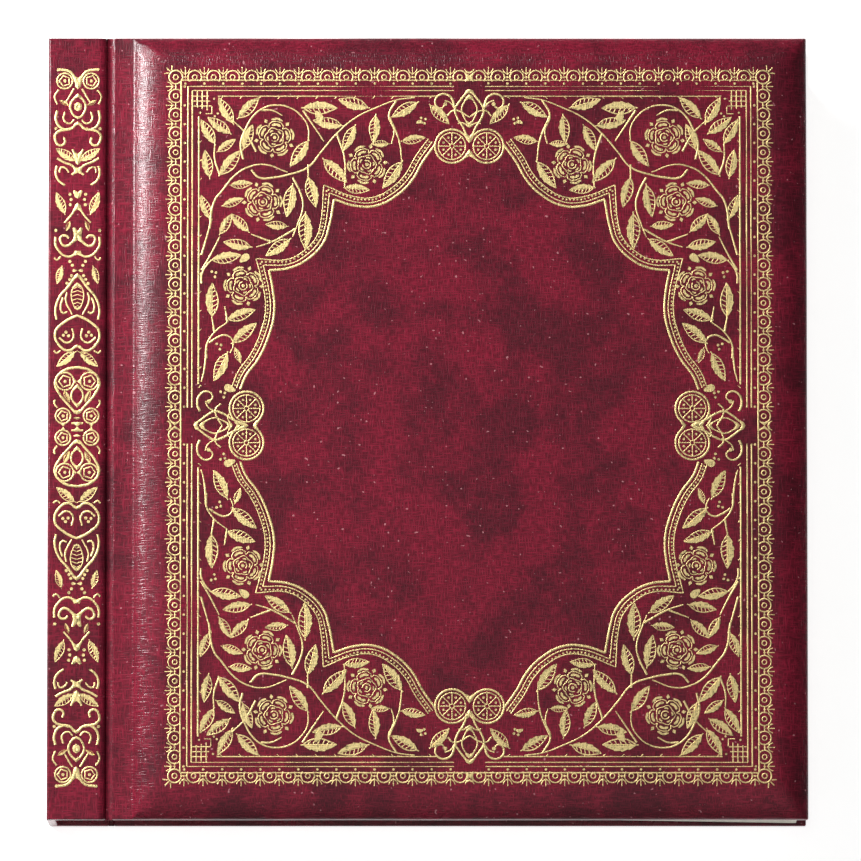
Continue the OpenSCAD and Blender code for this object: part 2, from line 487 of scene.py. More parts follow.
def nickel_material():
    """Nickel-plated steel: turned on a lathe and barrel-plated, so bright with faint scuffs."""
    material, tree, spot = new_material("nickel plate barrel-finished", {"Metallic": 1.0})
    scuffs = add(tree, "TexNoise", {"Vector": spot, "Scale": 1 / (1.5 * MM), "Detail": 4.0})
    tint = add(tree, "ValToRGB", {"Fac": scuffs}, [(0.3, linear("#a9a7a0")), (0.6, linear("#cfcdc6"))])
    dull = add(tree, "ValToRGB", {"Fac": scuffs}, [(0.3, grey(0.4)), (0.7, grey(0.2))])
    return finished(material, tint, roughness=dull)


MATERIALS = {}


def make_materials(scene):
    """Makes every finish once, each under the name of its slot."""
    finish = scene.album_finish
    MATERIALS.update(
        leatherette=leatherette_material(finish),
        gold_foil=gold_material(finish),
        grey_board=fibre_material("grey board pulp", finish.board, 1.2 * MM, 0.9, 0.08 * MM),
        endpaper=fibre_material("endpaper laid", finish.cream, 0.8 * MM, 0.75, 0.03 * MM),
        page_card=fibre_material("card manila calendered", finish.cream, 0.9 * MM, 0.6, 0.02 * MM),
        linen=linen_material(finish),
        foam=foam_material(),
        clear_film=film_material(),
        nickel=nickel_material(),
    )


# ---------------------------------------------------------------- covers


def padded_top(name, inset, depth):
    """The flat top of the padding with its edges rolled down, open underneath.

    inset shrinks it on every side, and depth lowers its top."""
    settings = bpy.context.scene.album_cover
    x0, x1, y1 = PAD_X + inset, cover_high.x - inset, HALF_L - inset
    middle = (x0 + x1) / 2
    edge, full = settings.edge_w, settings.roll_angle
    rise = cover_high.z - FACE_Z
    size = Vector((x1 - x0 - 2 * edge, 2 * y1 - 2 * edge))
    piece = new_grid(name, size, (middle, 0, cover_high.z - depth), (60, 64))
    select_open_edges(piece)
    spread, drop = 0.0, 0.0
    for step in range(1, settings.roll_steps + 1):
        angle = step / settings.roll_steps * full
        grown = edge * math.sin(angle) / math.sin(full)
        fallen = rise * (1 - math.cos(angle)) / (1 - math.cos(full))
        extrude((0, 0, drop - fallen))
        wider = (size.x + 2 * grown) / (size.x + 2 * spread)
        taller = (size.y + 2 * grown) / (size.y + 2 * spread)
        bpy.ops.transform.resize(value=(wider, taller, 1), center_override=(middle, 0, 0))
        spread, drop = grown, fallen
    end_edit()
    return piece


def ripple(piece, strength):
    """Waves a surface out of flat by a soft cloud pattern."""
    clouds = bpy.data.textures.new("padding waves", "CLOUDS")
    clouds.noise_scale = 0.045
    clouds.noise_depth = 1
    apply_modifier(
        piece, "DISPLACE", texture=clouds, strength=strength, mid_level=0.5, texture_coords="LOCAL"
    )


class ALBUM_OT_front_cover(bpy.types.Operator):
    """Makes the padded front cover: foam on the board and the covering stretched over it"""

    bl_idname = "album.front_cover"
    bl_label = "Front cover"

    def execute(self, context):
        settings = context.scene.album_cover
        under = settings.leather + 0.05 * MM
        foam = padded_top("front_cover_foam", under, under)
        start_edit(foam)
        select_open_edges(foam)
        extrude((0, 0, board_high.z - FACE_Z + under))
        bpy.ops.mesh.edge_face_add()
        end_edit()
        tidy_normals(foam)
        smooth(foam)
        place_piece(foam, "foam", "front_cover", "front_cover_pad")

        cover = padded_top("front_cover_leather", 0, 0)
        ripple(cover, settings.wave)
        start_edit(cover)
        left = PAD_X + 0.3 * MM
        select_open_edges(cover, lambda middle: middle.x < left)
        extrude((cover_low.x - GAP - PAD_X, 0, 0))
        select_open_edges(cover)
        extrude((0, 0, cover_low.z - FACE_Z))
        width, height = cover_high.x - cover_low.x, 2 * HALF_L
        extrude((0, 0, 0))
        inward = 2 * settings.turn_in
        bpy.ops.transform.resize(
            value=(1 - inward / width, 1 - inward / height, 1),
            center_override=((cover_low.x + cover_high.x) / 2, 0, 0),
        )
        end_edit()
        rounded(cover, settings.corner, 2, 42, settings.leather)
        place_piece(cover, "leatherette", "front_cover", "front_cover_covering")
        return {"FINISHED"}


def quarter(steps):
    """Angles from nothing to a right angle."""
    return [k / steps * math.pi / 2 for k in range(steps + 1)]


def strip_outline(inset):
    """Outline of the hinge strip in the XZ plane, rounding down to the groove on its right."""
    roll = bpy.context.scene.album_cover.strip_roll
    left, right = strip_low.x + GAP + inset, strip_high.x - 0.2 * MM - inset
    top, low = FACE_Z - inset, strip_low.z + inset
    drop = 1.9 * MM
    rounding = [(right - roll * (1 - math.sin(a)), top - drop * (1 - math.cos(a))) for a in quarter(6)]
    return [(left, low), (left, top), *rounding, (right, low)]


class ALBUM_OT_front_strip(bpy.types.Operator):
    """Makes the stiff hinge strip: its board, its covering and the fold that joins it to the spine"""

    bl_idname = "album.front_strip"
    bl_label = "Front hinge strip"

    def execute(self, context):
        settings = context.scene.album_cover
        board = cased("front_strip_core", strip_outline(settings.leather), 0, 0.2 * MM, settings.leather)
        place_piece(board, "grey_board", "front_strip", "front_strip_board")
        strip = cased("front_strip_leather", strip_outline(0), WALL, settings.corner)
        place_piece(strip, "leatherette", "front_strip", "front_strip_covering")

        x, start = strip_low.x + 0.15 * MM, strip_low.z
        path = [(x, start), (x, start + 1.2 * MM), (x, FACE_Z - 1 * MM), (x + 0.25 * MM, FACE_Z - GAP)]
        fold = wrapped_sheet("front_edge_fold", path, 0.28 * MM)
        finish_piece(fold, "leatherette")
        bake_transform(fold)
        return {"FINISHED"}


class ALBUM_OT_grooves(bpy.types.Operator):
    """Makes the covering that dips into the grooves beside both covers"""

    bl_idname = "album.grooves"
    bl_label = "Grooves"

    def execute(self, context):
        reach = 0.36 * MM
        left, right = strip_high.x - 0.18 * MM, cover_low.x - reach
        span = right - left
        floor = FACE_Z - 2.3 * MM
        path = [
            (left, floor + 0.3 * MM), (left + 0.25 * span, floor), (left + 0.75 * span, floor),
            (right, floor + 0.2 * MM),
        ]
        self.groove("front", path, ("front_strip", "front_cover"), FACE_Z)

        left = strip_high.x + reach
        depth, sag = 2.3 * MM, 0.5 * MM
        path = [(left, depth - sag), ((left + right) / 2, depth), (right, depth - sag)]
        self.groove("back", path, ("binding_block", "back_cover"), 0)
        return {"FINISHED"}

    def groove(self, side, path, bodies, level):
        """A sheet along a path, fixed in place; the two bodies and the level are not used."""
        sheet = wrapped_sheet(side + "_groove_leather", path, 0.4 * MM)
        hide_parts(side + "_groove_cloth")
        finish_piece(sheet, "leatherette")
        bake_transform(sheet)


class ALBUM_OT_case(bpy.types.Operator):
    """Makes the spine with the back hinge strip, and the back cover"""

    bl_idname = "album.case"
    bl_label = "Spine and back cover"

    def execute(self, context):
        settings = context.scene.album_cover
        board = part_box("spine_board")[1]
        inner_x, lip = board.x + 0.28 * MM, board.z + 0.27 * MM
        low, high = spine_low.x, strip_high.x + GAP
        roll = 1.4 * MM
        corner = [(low + roll * (1 - math.cos(a)), roll * (1 - math.sin(a))) for a in quarter(4)]
        outline = [
            (inner_x, lip), (low, lip), *corner,
            (high, 0), (high, back_high.z), (inner_x, back_high.z),
        ]
        spine = cased("case_spine_leather", outline, WALL, settings.corner)
        place_piece(spine, "leatherette", "binding_block", "spine_covering", "back_strip_covering")

        low = cover_low.x - GAP
        outline = [(low, 0), (low, back_high.z), (back_high.x, back_high.z), (back_high.x, 0)]
        back = cased("back_cover_leather", outline, WALL, settings.corner)
        place_piece(back, "leatherette", "back_cover", "back_cover_covering")
        return {"FINISHED"}


class ALBUM_OT_endpapers(bpy.types.Operator):
    """Makes the two endpapers pasted inside the covers"""

    bl_idname = "album.endpapers"
    bl_label = "Endpapers"

    def execute(self, context):
        thickness = context.scene.album_cover.paper
        margin = 5 * MM
        left, right = cover_low.x + 2 * MM, cover_high.x - margin
        width = right - left
        levels = {"front": cover_low.z - thickness, "back": back_high.z}
        for side, level in levels.items():
            size, centre = (width, 2 * (HALF_L - margin)), (right - width / 2, 0, level)
            paper = new_grid(side + "_endpaper_sheet", size, centre, (24, 28))
            end_edit()
            apply_modifier(paper, "SOLIDIFY", thickness=thickness, offset=1)
            tidy_normals(paper)
            place_piece(paper, "endpaper", side + "_cover", side + "_endpaper")
        return {"FINISHED"}


def divided(points, step):
    """The same line with a point about every step along it."""
    finer = []
    for a, b in zip(points, points[1:]):
        start, way = Vector(a), Vector(b) - Vector(a)
        parts = max(1, round(way.length / step))
        finer += [tuple(start + way * k / parts) for k in range(parts)]
    return [*finer, points[-1]]


class ALBUM_OT_guards(bpy.types.Operator):
    """Makes the linen guards that hinge each leaf to its stub"""

    bl_idname = "album.guards"
    bl_label = "Linen guards"

    def execute(self, context):
        thickness = 0.26 * MM
        stub_gap = 1.75 * MM
        for body in LEAVES:
            x, _, z = JOINTS[body + "_turn"]["pos_m"]
            card_low, card_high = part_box(body + "_card")
            low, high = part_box(body + "_guard")
            lap_z = card_high.z + thickness / 2 + 0.02 * MM
            points = [(x - stub_gap, z), (x, z), (card_low.x, lap_z), (high.x, lap_z)]
            finer = divided(points, 0.6 * MM)
            guard = wrapped_sheet(body + "_linen_guard", finer, thickness, low.y, high.y, steps=1)
            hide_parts(body + "_guard")
            finish_piece(guard, "linen")
            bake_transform(guard)
        return {"FINISHED"}


class ALBUM_OT_frame_finishes(bpy.types.Operator):
    """Gives the boards, leaves, pockets and posts of the frame their finishes"""

    bl_idname = "album.frame_finishes"
    bl_label = "Frame finishes"

    def execute(self, context):
        for name, node in frame["nodes"].items():
            if node.hide_render:
                continue
            if name.endswith("_pockets"):
                slot = "clear_film"
            elif name.endswith("_card") or name == "leaf_stubs":
                slot = "page_card"
            elif name.startswith(("binding_posts", "post_screw")):
                slot = "nickel"
            else:
                slot = "grey_board"
            finish_piece(node, slot)
        return {"FINISHED"}


# ---------------------------------------------------------------- gold blocking


ONE_STEP = 9  # a reach in millimetres that is longer than any short stroke, so the stroke is one step


class Sketch:
    """Lines and filled shapes drawn flat, in millimetres, for one piece of gold foil."""

    def __init__(self, name):
        self.name = name
        self.lines = bpy.data.curves.new(name + "_lines", "CURVE")
        self.lines.dimensions = "3D"
        self.lines.twist_mode = "Z_UP"
        self.lines.bevel_depth = 0.5 * MM
        self.lines.bevel_resolution = 0
        self.lines.use_fill_caps = True
        self.plates = bpy.data.curves.new(name + "_plates", "CURVE")
        self.plates.dimensions = "2D"
        self.plates.fill_mode = "BOTH"
        self.plates.extrude = bpy.context.scene.album_foil.plate

    def spline(self, curve, points, closed, sharp, reach):
        """Adds a curve through points, with a step along it no longer than reach."""
        spline = curve.splines.new("BEZIER")
        spline.bezier_points.add(len(points) - 1)
        for point, (x, y) in zip(spline.bezier_points, points):
            point.co = (x * MM, y * MM, 0)
            point.handle_left_type = point.handle_right_type = "VECTOR" if sharp else "AUTO"
        spline.use_cyclic_u = closed
        longest = max(math.dist(a, b) for a, b in zip(points, points[1:]))
        spline.resolution_u = max(1, math.ceil(longest / reach))
        return spline

    def line(self, points, width, end=None, closed=False, sharp=False, reach=1.3):
        """A line of one width, or one that tapers to an end width."""
        spline = self.spline(self.lines, points, closed, sharp, reach)
        last = max(1, len(points) - 1)
        for k, point in enumerate(spline.bezier_points):
            point.radius = width if end is None else width + (end - width) * k / last

    def rule(self, start, end, width):
        """A straight line of one width."""
        self.line([start, end], width, sharp=True, reach=4)

    def plate(self, points, sharp=False, reach=1.5):
        """A filled shape."""
        self.spline(self.plates, points, True, sharp, reach)

    def ring(self, x, y, radius, width, lobes=0, depth=0.0, points=12):
        """A closed ring, wavy where it has lobes."""
        self.line(circle(x, y, radius, lobes, depth, points), width, closed=True)

    def dot(self, x, y, radius):
        """A small round dot."""
        self.plate(circle(x, y, radius, points=6), reach=ONE_STEP)

    def piece(self):
        """Turns the drawing into one mesh that lies in the XY plane."""
        made = []
        for curve in (self.lines, self.plates):
            if curve.splines:
                drawn = bpy.data.objects.new(self.name, curve)
                bpy.context.scene.collection.objects.link(drawn)
                activate(drawn)
                bpy.ops.object.convert(target="MESH")
                if curve is self.lines:
                    start_edit(drawn, action="SELECT")
                    relief = bpy.context.scene.album_foil.relief
                    bpy.ops.transform.resize(value=(1, 1, relief), center_override=(0, 0, 0))
                    end_edit()
                made.append(drawn)
        return joined(made, self.name)


def circle(x, y, radius, lobes=0, depth=0.0, points=12, start=0.0, sweep=360.0):
    """Points round a circle or an arc, in and out by depth where it has lobes."""
    whole = abs(sweep) >= 360
    count = points if whole else points - 1
    places = []
    for k in range(points):
        angle = math.radians(start + sweep * k / count)
        reach = radius + depth * math.cos(lobes * angle) if lobes else radius
        places.append((x + reach * math.cos(angle), y + reach * math.sin(angle)))
    return places


def joined(pieces, name):
    """Joins pieces into one with this name."""
    deselect()
    for piece in pieces:
        piece.select_set(True)
    bpy.context.view_layer.objects.active = pieces[0]
    if len(pieces) > 1:
        bpy.ops.object.join()
    result = bpy.context.view_layer.objects.active
    result.name = result.data.name = name
    return result


def set_out(motif, places, name):
    """Copies a motif to each (x, y, turn in degrees, size) in millimetres, then joins the copies."""
    copies = []
    for x, y, turn, size in places:
        copy = motif.copy()
        copy.data = motif.data.copy()
        place = Matrix.Translation((x * MM, y * MM, 0)) @ Matrix.Rotation(math.radians(turn), 4, "Z")
        copy.data.transform(place @ Matrix.Diagonal((size, size, 1, 1)))
        bpy.context.scene.collection.objects.link(copy)
        copies.append(copy)
    bpy.data.objects.remove(motif)
    return joined(copies, name)


def gild(piece, body="front_cover", centre_x=None):
    """Mirrors a quarter of the ornament about both axes and lays it on a body's covering.

    It goes to the middle of the cover ornament unless it is given another centre across."""
    foil = bpy.context.scene.album_foil
    centre_x = foil.centre_x if centre_x is None else centre_x
    both = (True, True, False)
    apply_modifier(piece, "MIRROR", use_axis=both, use_bisect_axis=both, merge_threshold=0.02 * MM)
    start_edit(piece, action="SELECT")
    bpy.ops.transform.translate(value=(centre_x, foil.centre_y, 0))
    end_edit()
    bpy.context.view_layer.update()
    under = bpy.data.objects[body + "_leather"]
    tree = BVHTree.FromObject(under, bpy.context.evaluated_depsgraph_get())
    for vertex in piece.data.vertices:
        hit = tree.ray_cast(Vector((vertex.co.x, vertex.co.y, 1)), Vector((0, 0, -1)))[0]
        if hit is None:
            raise RuntimeError(f"{piece.name} reaches past the covering")
        vertex.co.z += hit.z
    tidy_normals(piece)
    smooth(piece, 70)
    finish_piece(piece, "gold_foil")
    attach(piece, body)


def polar(radius, degrees, x=0.0, y=0.0):
    """A point at a distance and an angle from another."""
    return x + radius * math.cos(math.radians(degrees)), y + radius * math.sin(math.radians(degrees))


def spread_out(spots, turn, x=0.0, y=0.0):
    """Points given as distances and angles, turned round a point."""
    return [polar(radius, turn + degrees, x, y) for radius, degrees in spots]


def rose_motif():
    """A rose seen from above: a coiled heart, two rings of petals and five sepals."""
    rose = Sketch("rose")
    rose.dot(0, 0, 0.7)
    rose.line(circle(0, 0, 1.6, points=9, start=20, sweep=300), 0.42)
    rose.ring(0, 0, 3.55, 0.34, lobes=5, depth=0.35, points=20)
    for k in range(5):
        turn = 72 * k + 26
        for low, high, half, shift in ((2.4, 2.9, 19, 36), (4.6, 5.2, 23, 0)):
            outline = [(low, -0.9), (high, -0.8), (high * 1.05, 0), (high, 0.8), (low, 0.9), (low * 1.02, 0)]
            rose.plate(spread_out([(r, half * a) for r, a in outline], turn + shift))
        rim = ((4.4, -36), (5.6, -30), (6.2, -16), (6.25, 0), (6.2, 16), (5.6, 30), (4.4, 36))
        rose.line(spread_out(rim, turn), 0.36, reach=2)
        crescent = ((6.9, 19), (7.5, 10), (7.7, 0), (7.5, -10), (6.9, -19), (7.05, 0))
        rose.plate(spread_out(crescent, turn))
        rose.plate(spread_out(((6.2, 0), (7.1, 6), (8.1, 0), (7.1, -6)), turn + 36))
    return rose.piece()


LEAF_LENGTH = 10


def leaf_motif():
    """A rose leaf 10 mm long: one half solid and toothed, the other outlined and hatched."""
    leaf = Sketch("leaf")
    teeth = [
        (0.6, -0.5), (2.2, -1.5), (2.5, -1.25), (4.3, -2.0), (4.6, -1.7),
        (6.5, -1.75), (6.8, -1.4), (8.4, -0.9), (10, 0.05),
    ]
    leaf.plate([(0.2, -0.12), *teeth, (5, -0.14)], sharp=True, reach=4)
    leaf.line([(-0.6, 0), (5, 0.1), (9.8, 0.05)], 0.4, 0.25, reach=2.5)
    leaf.line([(0.3, 0.15), (2, 1.3), (4.2, 1.85), (6.5, 1.55), (8.6, 0.7), (9.9, 0.1)], 0.42, 0.3, reach=2)
    for x, reach in ((1.6, 0.95), (3, 1.5), (4.4, 1.7), (5.8, 1.55), (7.1, 1.1), (8.3, 0.65)):
        leaf.line([(x, 0.2), (x + 0.7, reach)], 0.3, reach=ONE_STEP)
    return leaf.piece()


def fleur(sketch, x, y, turn):
    """A three-pronged fleur on its link, pointing outwards from a border's centre line."""
    turned = Matrix.Rotation(math.radians(turn), 2)

    def at(points):
        """Points turned about the fleur's foot and moved to it."""
        return [tuple(turned @ Vector(p) + Vector((x, y))) for p in points]

    sketch.line(at([(0, 0.9), (0, 3.9)]), 0.5, 0.4, reach=ONE_STEP)
    for side in (-1, 1):
        sketch.line(at([(0, 1.3), (side * 1.1, 1.9), (side * 1.75, 3.2)]), 0.45, 0.36, reach=1.2)
    sketch.line(at([(-0.95, 0), (0.95, 0)]), 0.4, reach=ONE_STEP)
    sketch.line(at([(0, -0.4), (0, 0.5)]), 0.4, reach=ONE_STEP)


class ALBUM_OT_foil_border(bpy.types.Operator):
    """Blocks the ring and fleur border with its frame lines"""

    bl_idname = "album.foil_border"
    bl_label = "Gilt border"

    def execute(self, context):
        foil = context.scene.album_foil
        pitch = foil.pitch / MM
        half_w, half_h = (foil.columns + 0.5) * pitch, (foil.rows + 0.5) * pitch
        inside_top, inside_side = -1.2, -2.1

        def unit(inside, hand):
            """One ring on the inner line, with a link and a fleur on the side towards the corner."""
            motif = Sketch("border unit")
            open_at = 38 if inside == inside_top else 52
            motif.line(circle(0, 0, 2.6, points=11, start=-open_at, sweep=180 + 2 * open_at), 0.48)
            motif.ring(0, 0, 0.95, 0.4, points=8)
            x = hand * pitch / 2
            fleur(motif, x, 0, 0)
            motif.dot(x, inside - 1.3, 0.5)
            return motif.piece()

        def row(piece, count, step):
            """Repeats a unit along one side, towards the corner."""
            offset = tuple(s * MM for s in (*step, 0))
            apply_modifier(
                piece, "ARRAY", count=count, use_relative_offset=False, use_constant_offset=True,
                constant_offset_displace=offset,
            )
            return piece

        top = set_out(unit(inside_top, 1), [(pitch / 2, half_h, 0, 1)], "border top")
        row(top, foil.columns, (pitch, 0))
        side = set_out(unit(inside_side, -1), [(half_w, pitch / 2, -90, 1)], "border side")
        row(side, foil.rows, (0, pitch))

        rest = Sketch("foil_border")
        fleur(rest, 0, half_h, 0)
        fleur(rest, half_w, 0, -90)
        rest.ring(half_w, half_h, 2.6, 0.55)
        rest.ring(half_w, half_h, 1.0, 0.42, points=8)
        for turn in (-28, 0, 28):
            prong = ((3.1, turn / 2), (5.2 if turn == 0 else 4.8, turn))
            rest.line(spread_out(prong, 45, half_w, half_h), 0.45)
        x, y = half_w + inside_side, half_h + inside_top
        rest.rule((x, 0), (x, y), 0.6)
        rest.rule((0, y), (x, y), 0.5)
        for side_inset, top_inset in ((2.6, 2.4), (4.3, 4.0)):
            rest.rule((x - side_inset, 7), (x - side_inset, y - top_inset), 0.55)
            rest.rule((6, y - top_inset), (x - side_inset, y - top_inset), 0.35)
        stem_x, stem_y = x - 6.8, y - 6.2
        rest.rule((stem_x, 16), (stem_x, y - 14), 0.7)
        rest.rule((13, stem_y), (x - 14, stem_y), 0.45)
        for step in range(2, foil.rows - 1):
            rest.line([(stem_x, step * pitch), (x - 7.9, step * pitch + 0.9)], 0.4, 0.2, reach=ONE_STEP)
        for step in range(2, foil.columns - 1):
            rest.line([(step * pitch, stem_y), (step * pitch + 0.9, y - 7.2)], 0.4, 0.2, reach=ONE_STEP)
        for k in range(3):
            near, far = 6.2 + 1.9 * k, 10.6 + 0.5 * k
            rest.rule((x - near, y - 4.0), (x - near, y - far), 0.42)
            rest.rule((x - 4.3, y - near), (x - far, y - near), 0.42)
        rest.line([(x - 11.8, y - 10.3), (x - 11.8, y - 13), (x - 9.3, y - 13)], 0.4, sharp=True)
        for a, b in ((12.6, 7.2), (7.2, 12.6), (12.9, 14), (14, 12.9)):
            rest.dot(x - a, y - b, 0.45)
        border = joined([rest.piece(), top, side], "foil_border")
        gild(border)
        return {"FINISHED"}


# Where the roses sit in one quarter of the ornament, from its centre
ROSES = ((75, 111.5), (39.5, 101), (79.5, 86.5), (87, 54))

# Leaves along each stem of that quarter: base, direction in degrees and length
VINE_LEAVES = {
    "corner": (
        (91, 117, 60, 10), (89, 119, 135, 10), (92, 113, 35, 9.5), (98, 109, 60, 9.5), (97, 106, 145, 7.5),
        (96, 97, 130, 11), (100, 96, 80, 9.5), (92, 93, 175, 7.5), (95, 85, 160, 7.5), (100, 80, 70, 8.5),
        (87, 107, 110, 9),
    ),
    "top": (
        (62, 110, -55, 10.5), (64, 123, 180, 11.5), (49, 116, 10, 10), (62, 96, -105, 10.5),
        (68, 93, -80, 11), (56, 103, -135, 11), (39, 123, 15, 10.5), (44, 116, -65, 9.5),
        (36, 120, -85, 9.5), (20, 125, -30, 10), (15, 124, -135, 9), (31, 109, 0, 6),
        (26, 110, 170, 8), (26, 102, -55, 11), (48, 92, 185, 8.5),
    ),
    "side": (
        (96, 74, 120, 8), (85, 75, 45, 8.5), (84, 69, 10, 9.5), (99, 64, 170, 10), (69, 72, -35, 10),
        (63, 82, -90, 12), (70, 77, 5, 7.5), (99, 42, 90, 11.5), (93, 41, 160, 10), (91, 32, 140, 10.5),
        (93, 28, -65, 10.5), (90, 30, -110, 5.5),
    ),
}


class ALBUM_OT_foil_roses(bpy.types.Operator):
    """Blocks the sixteen roses"""

    bl_idname = "album.foil_roses"
    bl_label = "Gilt roses"

    def execute(self, context):
        places = [(x, y, 40 * k, 1) for k, (x, y) in enumerate(ROSES)]
        gild(set_out(rose_motif(), places, "foil_roses"))
        return {"FINISHED"}


class ALBUM_OT_foil_leaves(bpy.types.Operator):
    """Blocks the rose leaves on their vines"""

    bl_idname = "album.foil_leaves"
    bl_label = "Gilt leaves"

    def execute(self, context):
        scale = context.scene.album_foil.leaf_size / LEAF_LENGTH
        leaves = sum(VINE_LEAVES.values(), ())
        places = [(x, y, turn, size * scale) for x, y, turn, size in leaves]
        gild(set_out(leaf_motif(), places, "foil_leaves"))
        return {"FINISHED"}


# Stems of one quarter of the ornament, each from its root to its tip
STEMS = (
    ((100, 76), (98, 87), (95, 91), (90, 97), (85, 100), (79, 101), (70, 98)),
    (
        (84, 99), (81, 96), (75, 96), (70, 97), (62, 100), (57, 106), (51, 113), (44, 119), (36, 123),
        (28, 126), (21, 127),
    ),
    (
        (87, 103), (88, 109), (86, 115), (83, 120), (79, 123), (75, 124), (69, 123), (64, 119), (62, 115),
        (62, 110),
    ),
    ((64, 122), (60, 116), (56, 110)),
    ((80, 122), (76, 122), (72, 120)),
    ((62, 101), (62, 96)),
    ((68, 96), (65, 90), (64, 85), (66, 78), (68, 73)),
    ((67, 76), (76, 71), (82, 69)),
    ((76, 71), (84, 74)),
    ((101, 26), (101, 31), (98, 36), (93, 40)),
    ((98, 36), (99, 42)),
    ((93, 40), (94, 46)),
    ((100, 32), (97, 34), (94, 35), (91, 33), (91, 30), (92, 28)),
    ((103, 55), (103, 58), (101, 62), (98, 65)),
    ((103, 60), (99, 67), (96, 73)),
    ((103, 66), (101, 73), (99, 80)),
    ((101, 30), (102, 21), (103, 17)),
    ((28, 126), (31, 120), (29, 114), (30, 109)),
    ((31, 120), (27, 110), (26, 102)),
    ((51, 113), (48, 103), (48, 92)),
    ((82, 106), (86, 113), (91, 118)),
    ((96, 97), (98, 103), (98, 109)),
)


class ALBUM_OT_foil_vines(bpy.types.Operator):
    """Blocks the stems, tendrils, buds and sprigs"""

    bl_idname = "album.foil_vines"
    bl_label = "Gilt vines"

    def execute(self, context):
        vines = Sketch("foil_vines")
        for stem in STEMS:
            vines.line(stem, 0.8, 0.42)
        hooks = (
            ((5.6, 123), (7.5, 127.5), (11.5, 128), (13.2, 125), (11, 122.8), (9.3, 124.4)),
            ((103.5, 5.6), (104.5, 8), (103.5, 12), (100.5, 13.2), (98.6, 11), (100.2, 9.3)),
        )
        for hook in hooks:
            vines.line(hook, 0.9, 0.5)
            vines.dot(*hook[-1], 0.8)
        for x, y in ((98.5, 58.5), (96.5, 30.5), (18, 118), (95, 12)):
            for turn in (60, 150, 240):
                vines.dot(*polar(1.2, turn, x, y), 0.55)
        for x, y, turn in ((19.5, 118, 250), (94, 15, 200), (85, 66, 320), (57, 118, 60)):
            bud = ((0.2, 180), (1.6, 60), (3.6, 12), (4.4, 0), (3.6, -12), (1.6, -60))
            vines.plate(spread_out(bud, turn, x, y))
        gild(vines.piece())
        return {"FINISHED"}


# Stretches of the cartouche in one quarter, from the top medallion to the side one, and its two cusps
CARTOUCHE = (
    ((13, 109), (18, 102), (22, 95), (28, 89), (36, 85), (44, 85), (52, 87.5)),
    ((52, 87.5), (54, 77), (56, 71), (62, 64.5), (69, 61), (77, 60)),
    ((77, 60), (75.5, 52), (75, 44), (77, 35), (81, 26), (86, 19), (88, 14)),
)
CUSP_TIPS = ((56, 93), (82, 64.5))


def beside(points, gap, width, tips):
    """A line beside another on its left, running out to a cusp tip at either end that has one."""
    moved = []
    for k, (x, y) in enumerate(points):
        before, after = points[max(0, k - 1)], points[min(len(points) - 1, k + 1)]
        way = Vector((after[0] - before[0], after[1] - before[1])).normalized()
        moved.append((x - way.y * gap, y + way.x * gap))
    share = gap / width
    for end, tip in tips.items():
        x, y = points[end]
        moved[end] = (x + (tip[0] - x) * share, y + (tip[1] - y) * share)
    return moved


class ALBUM_OT_foil_cartouche(bpy.types.Operator):
    """Blocks the beaded cartouche with its wheels and lilies"""

    bl_idname = "album.foil_cartouche"
    bl_label = "Gilt cartouche"

    def execute(self, context):
        shape = Sketch("foil_cartouche")
        band = 3.4
        for k, stretch in enumerate(CARTOUCHE):
            tips = {end: CUSP_TIPS[n] for end, n in ((0, k - 1), (-1, k)) if 0 <= n < len(CUSP_TIPS)}
            shape.line(stretch, 0.85)
            for gap in (1.5, band):
                shape.line(beside(stretch, gap, band, tips), 0.42)
            middle = beside(stretch, (1.5 + band) / 2, band, tips)
            for a, b in zip(middle, middle[1:]):
                count = round(math.dist(a, b) / 1.55)
                for n in range(count):
                    share = (n + 0.5) / count
                    shape.dot(a[0] + (b[0] - a[0]) * share, a[1] + (b[1] - a[1]) * share, 0.42)
        for x, y in ((6.7, 108.1), (85.6, 6.6)):
            shape.ring(x, y, 6.5, 0.75, points=16)
            shape.ring(x, y, 5.2, 0.45, points=16)
            shape.ring(x, y, 0.9, 0.4, points=8)
            for turn in range(0, 360, 45):
                shape.line(spread_out(((0.9, 0), (5.1, 0)), turn, x, y), 0.4, reach=ONE_STEP)
                shape.dot(*polar(3.6, turn + 22.5, x, y), 0.5)
        lily = (
            (((0, 0), (1.6, -3), (4.2, -6.5), (5.5, -9), (4.6, -12.5), (2.4, -16), (0.3, -22)), 0.75),
            (((0, -2.5), (1.6, -5.5), (3, -9), (1.8, -12.5), (0, -16)), 0.5),
            (((0.4, -12), (3.2, -10), (6.4, -9.5), (8.4, -11.5)), 0.6),
            (((5.5, -9), (7.4, -6.4), (9.5, -5.6)), 0.5),
            (((0.3, -16), (2.6, -14.2), (4.4, -14.6)), 0.45),
        )
        heart = ((0, -5.5), (0.9, -8), (0.5, -10), (0, -11.5), (-0.5, -10), (-0.9, -8))
        for tip, upright in ((131.4, True), (107, False)):

            def at(points):
                """The lily's points moved to its tip, along Y where it is upright and else along X."""
                return [(a, tip + b) if upright else (tip + b, a) for a, b in points]

            for points, width in lily:
                shape.line(at(points), width)
            shape.plate(at(heart))
        gild(shape.piece())
        return {"FINISHED"}


